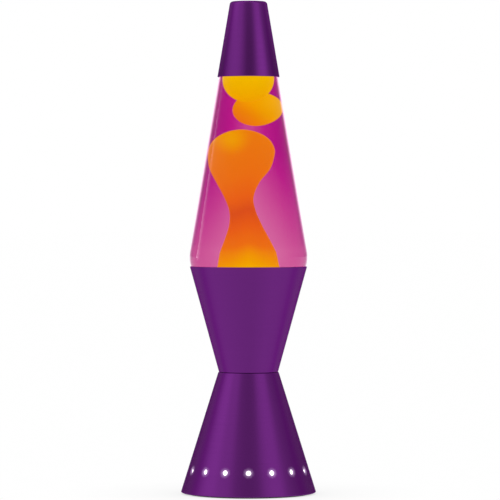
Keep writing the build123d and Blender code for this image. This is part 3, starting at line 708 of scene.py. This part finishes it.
def dye_body():
    """Liquid just inside the glass; it bends no light, so it only colours what is seen through it."""
    floor = GLOBE_Z + DYE_FLOOR
    profile = rounded([
        (0, floor), (BOTTOM_R + 1.2 * MM - DYE_GAP, floor, 4 * MM),
        (BELLY_R - DYE_GAP, BELLY_Z, BELLY_BEND), (SHOULDER_R - DYE_GAP, SHOULDER_Z),
        (SHOULDER_R - 6 * MM, LEVEL_Z - DYE_GAP), (0, LEVEL_Z - DYE_GAP),
    ], steps=14)
    return lathe("dyed_liquid", profile, liquid_dye_and_glow, closed=False, sides=256)


globe = bottle()
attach(globe, "globe")
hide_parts("glass_bottle")
dye = dye_body()
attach(dye, "globe")
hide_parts("liquid")


# ------------------------------------------------------------------ wax
# the rising column in millimetres: (height, shift, radius), from its foot to its head
COLUMN_KNOTS = [
    (129.6, 0, 0), (129.8, 0, 12), (130.5, 0, 23), (133.5, 0, 27.5), (140, 0, 28.6), (146, 0, 27.5),
    (152, 0, 24.5), (160, 0, 20.6), (170, 0, 17.6), (180, -0.3, 14.7), (190, -0.8, 11.5),
    (200, -1.7, 8.6), (210, -3.3, 7.1), (220, -5.2, 7.9), (231, -5.8, 11.6), (241, -4.9, 16.3),
    (250, -4.4, 18.0), (256, -4.1, 18.0), (262, -3.9, 15.8), (266.3, -3.7, 12.2), (269.2, -3.7, 7.6),
    (270.6, -3.7, 3.4), (271.0, -3.7, 0),
]
COLUMN_TOP_Z = 272 * MM
FREE_LOW_Z = 272 * MM
FREE_HIGH_Z = 304 * MM
TOP_BLOB_LOW_Z = 288 * MM
TOP_BLOB_HIGH_Z = 312 * MM


def column(material):
    """Rising column: wide foot, narrow neck, egg-shaped head."""
    mesh = bmesh.new()
    sides = 96
    rings = [
        ring(mesh, max(0.0, radius) * MM, z * MM, sides, (shift * MM, 0))
        for z, shift, radius in smooth_curve(COLUMN_KNOTS, 8 * (len(COLUMN_KNOTS) - 1))
    ]
    for low, high in zip(rings, rings[1:]):
        bridge(mesh, low, high)
    bmesh.ops.recalc_face_normals(mesh, faces=mesh.faces)
    return mesh_object("wax_rising_column", mesh, material, crease=180)


def blob(name, centre, size, material, lean=0.0, egg=0.0, bulge=0.0):
    """Free blob in millimetres: an ellipsoid that leans, tapers downward (egg) and bulges unevenly."""
    mesh = bmesh.new()
    bmesh.ops.create_icosphere(mesh, subdivisions=6, radius=1)
    for vertex in mesh.verts:
        x, y, z = vertex.co
        grow = 1 + egg * z + bulge * math.sin(2.1 * x + 1.3 * z) * math.cos(1.7 * y)
        vertex.co = Vector((
            (centre[0] + size[0] * x * grow + lean * z) * MM,
            (centre[1] + size[1] * y * grow) * MM,
            (centre[2] + size[2] * z) * MM,
        ))
    return mesh_object(name, mesh, material, crease=180)


column_wax = lit(bright_spot(glowing_wax("column_wax", [
    (0.0, YELLOW), (0.06, AMBER), (0.16, ORANGE), (0.29, linear(228, 94, 24)), (0.41, RED_ORANGE),
    (0.51, linear(230, 98, 24)), (0.66, ORANGE), (1.0, linear(234, 124, 16)),
], RIM_Z, COLUMN_TOP_Z, spread=3.6), x_mm=-11, z_mm=265, reach_mm=15, colour=AMBER))
free_wax = lit(glowing_wax("free_blob_wax", [
    (0.0, ORANGE), (0.35, linear(235, 136, 8)), (0.65, linear(239, 160, 0)), (1.0, linear(241, 172, 2)),
], FREE_LOW_Z, FREE_HIGH_Z, tilt=32.0))
top_wax = lit(glowing_wax("top_blob_wax", [
    (0.0, linear(238, 154, 2)), (0.35, linear(240, 172, 0)), (0.8, YELLOW), (1.0, YELLOW),
], TOP_BLOB_LOW_Z, TOP_BLOB_HIGH_Z, spread=-6.0))

rising_column = column(column_wax)
free_blob = blob(
    "wax_blob_free", (4.1, 6.5, 286.0), (12.1, 8.5, 12.7), free_wax, lean=0.6, bulge=0.03)
top_blob = blob(
    "wax_blob_top", (-0.5, -5.5, 311.0), (16.8, 8.6, 19.5), top_wax, egg=0.05, bulge=0.02)
for piece, node_name in (
    (rising_column, "wax_column"), (free_blob, "wax_free_blob"), (top_blob, "wax_top_blob"),
):
    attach(piece, "globe")
    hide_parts(node_name)
# ------------------------------------------------------------------ studio
WHITE = (1, 1, 1)
FLOOR_R = 30.0
SHADE_REACH = 0.10
SOFT_BOX = (0.7, 0.9)
LIT_POINT = Vector((0, 0, 0.15))
STRIP_BOX = (0.32, 0.8)
STRIP_TURN = math.radians(114)
STRIP_AWAY = 1.2
STRIP_Z = 0.50
CAMERA_AWAY = 2.6
EYE_Z = 0.213
FRAME_WIDTH = 0.37423
FRAME_MIDDLE_Z = 0.18229
# how the height of the ring that a cone mirrors falls off round the room, and how softly the rings meet
RING_HEIGHT = 0.44
RING_BLEND = 0.04

# reflected light round the lamp: (degrees from straight in front, brightness), left to right
LOW_BOXES = [
    (-180, 0.5), (-150, 0.36), (-120, 0.38), (-100, 0.64), (-82, 0.92), (-60, 1.04), (-40, 0.98),
    (-30, 0.82), (-18, 0.6), (-8, 0.38), (10, 0.37), (20, 0.42), (32, 0.75), (42, 1.12), (60, 1.26),
    (72, 1.04), (86, 0.55), (104, 0.42), (130, 0.33), (150, 0.36), (180, 0.5),
]
HIGH_BOXES = [
    (-180, 0.76), (-143, 0.72), (-110, 0.82), (-88, 1.26), (-70, 1.26), (-59, 1.0), (-38, 0.94),
    (-26, 0.61), (0, 0.55), (18, 0.60), (30, 0.93), (44, 1.06), (62, 1.03), (76, 0.64), (96, 0.59),
    (113, 0.60), (143, 0.68), (180, 0.76),
]
# the same for the floor: (share of a turn, brightness)
FLOOR_MIRRORED = [
    (0.0, 0.62), (0.18, 0.84), (0.27, 0.97), (0.47, 0.85), (0.53, 0.84), (0.64, 0.95), (0.74, 0.94),
    (0.84, 0.84), (1.0, 0.62),
]


def greys(stops):
    """Ramp stops of plain brightness."""
    return [(at, (light, light, light)) for at, light in stops]


def stage_floor():
    """White floor that shades softly near the lamp and joins the white backdrop further out."""
    mesh = bmesh.new()
    bmesh.ops.create_circle(mesh, cap_ends=True, segments=96, radius=FLOOR_R)
    look = Look("studio_floor", Base_Color=(0.9, 0.9, 0.9), Roughness=0.7)
    x, y, z = look.axes()
    away = look.length(x, y)
    shade = look.node("ShaderNodeAmbientOcclusion", {"Distance": SHADE_REACH}, output="AO", samples=12)
    soft = look.range(shade, 0.0, 1.0, 0.70, 1.0)
    near = look.mix(look.range(away, 0.12, 0.5), soft, WHITE)
    grain = look.range(look.noise(60.0, 2.0), 0.3, 0.7, 0.995, 1.0)
    colour = look.mix(1.0, near, grain, "MULTIPLY")
    mirrored = look.ramp(look.turn(x, y), greys(FLOOR_MIRRORED))
    seen = look.mix(look.mirrored_ray(), colour, mirrored)
    look.set(Base_Color=(0, 0, 0), Specular_IOR_Level=0.0, Emission_Color=seen, Emission_Strength=1.0)
    mesh_object("studio_floor", mesh, look.material)


def stage_world():
    """White for the camera and through the glass; soft boxes round the sides for reflections."""
    world = bpy.data.worlds.new("studio")
    world.use_nodes = True
    bpy.context.scene.world = world
    world.node_tree.nodes.clear()
    tree = Tree(world.node_tree)
    x, y, z = tree.split(tree.node("ShaderNodeTexCoord", output="Generated"))
    turn = tree.turn(x, y)
    low, high = (
        tree.ramp(turn, greys([(degrees / 360 + 0.5, light) for degrees, light in boxes]))
        for boxes in (LOW_BOXES, HIGH_BOXES)
    )
    # a steeper cone mirrors a ring of the room that stands higher by a steady share of this cosine
    half_turn = tree.math("COSINE", tree.math("MULTIPLY", tree.math("SUBTRACT", turn, 0.5), math.pi))
    above = tree.math("SUBTRACT", z, tree.math("MULTIPLY", half_turn, RING_HEIGHT))
    steep = tree.range(above, -RING_BLEND, RING_BLEND, kind="SMOOTHSTEP")

    boxes, white, room = (
        tree.node("ShaderNodeBackground", {"Color": colour})
        for colour in (tree.mix(steep, low, high), WHITE, (0.8, 0.8, 0.8))
    )
    diffuse = tree.node("ShaderNodeLightPath", output="Is Diffuse Ray")
    seen = tree.node("ShaderNodeMixShader", {0: tree.mirrored_ray(), 1: white, 2: boxes})
    lit_room = tree.node("ShaderNodeMixShader", {0: diffuse, 1: seen, 2: room})
    tree.put(world.node_tree.nodes.new("ShaderNodeOutputWorld").inputs["Surface"], lit_room)


def soft_light(name, place, power):
    """Large soft box that shines on the lamp and isn't seen in it."""
    light = bpy.data.lights.new(name, "AREA")
    light.shape = "RECTANGLE"
    light.size, light.size_y = SOFT_BOX
    light.energy = power
    obj = bpy.data.objects.new(name, light)
    obj.location = place
    obj.rotation_euler = (LIT_POINT - Vector(place)).to_track_quat("-Z", "Y").to_euler()
    obj.visible_glossy = False
    obj.visible_transmission = False
    bpy.context.scene.collection.objects.link(obj)


def strip_light():
    """Tall light that only the globe catches, as a streak on its left; it fades sideways and upward."""
    light = bpy.data.lights.new("strip_box", "AREA")
    light.shape = "RECTANGLE"
    light.size, light.size_y = STRIP_BOX
    light.energy = 0.75
    light.use_nodes = True
    tree = Tree(light.node_tree)
    across, up, _ = tree.split(tree.node("ShaderNodeNewGeometry", output="Parametric"))
    fades = [
        tree.range(share, 0.0, 1.0, strongest, 0.0, "SMOOTHSTEP")
        for share, strongest in ((across, 2.0), (up, 1.6))
    ]
    tree.put(light.node_tree.nodes["Emission"].inputs["Strength"], tree.math("MULTIPLY", *fades))
    obj = bpy.data.objects.new("strip_box", light)
    obj.location = (-STRIP_AWAY * math.sin(STRIP_TURN), -STRIP_AWAY * math.cos(STRIP_TURN), STRIP_Z)
    obj.rotation_euler = (Vector((0, 0, STRIP_Z)) - obj.location).to_track_quat("-Z", "Y").to_euler()
    obj.visible_transmission = False
    obj.visible_camera = False
    bpy.context.scene.collection.objects.link(obj)
    catching = bpy.data.collections.new("glass_only")
    catching.objects.link(globe)
    obj.light_linking.receiver_collection = catching


def stage_camera():
    """Long lens, level and above the middle, with the frame shifted down to hold the whole lamp."""
    camera = bpy.data.cameras.new("camera")
    camera.sensor_width = 36.0
    camera.lens = camera.sensor_width * CAMERA_AWAY / FRAME_WIDTH
    camera.shift_x = 0.003
    camera.shift_y = (FRAME_MIDDLE_Z - EYE_Z) / FRAME_WIDTH
    camera.clip_start = 0.1
    camera.clip_end = 100.0
    obj = bpy.data.objects.new("camera", camera)
    obj.location = (0, -CAMERA_AWAY, EYE_Z)
    obj.rotation_euler = (math.pi / 2, 0, 0)
    bpy.context.scene.collection.objects.link(obj)
    bpy.context.scene.camera = obj


stage_floor()
stage_world()
soft_light("key_box", (-0.9, -1.1, 1.1), 14)
soft_light("fill_box", (1.2, -0.7, 0.8), 8)
strip_light()
stage_camera()

scene = bpy.context.scene
scene.view_settings.view_transform = "Standard"
scene.cycles.use_denoising = True
scene.cycles.max_bounces = 24
scene.cycles.transmission_bounces = 20
scene.cycles.glossy_bounces = 8
scene.cycles.transparent_max_bounces = 16
scene.cycles.caustics_refractive = True
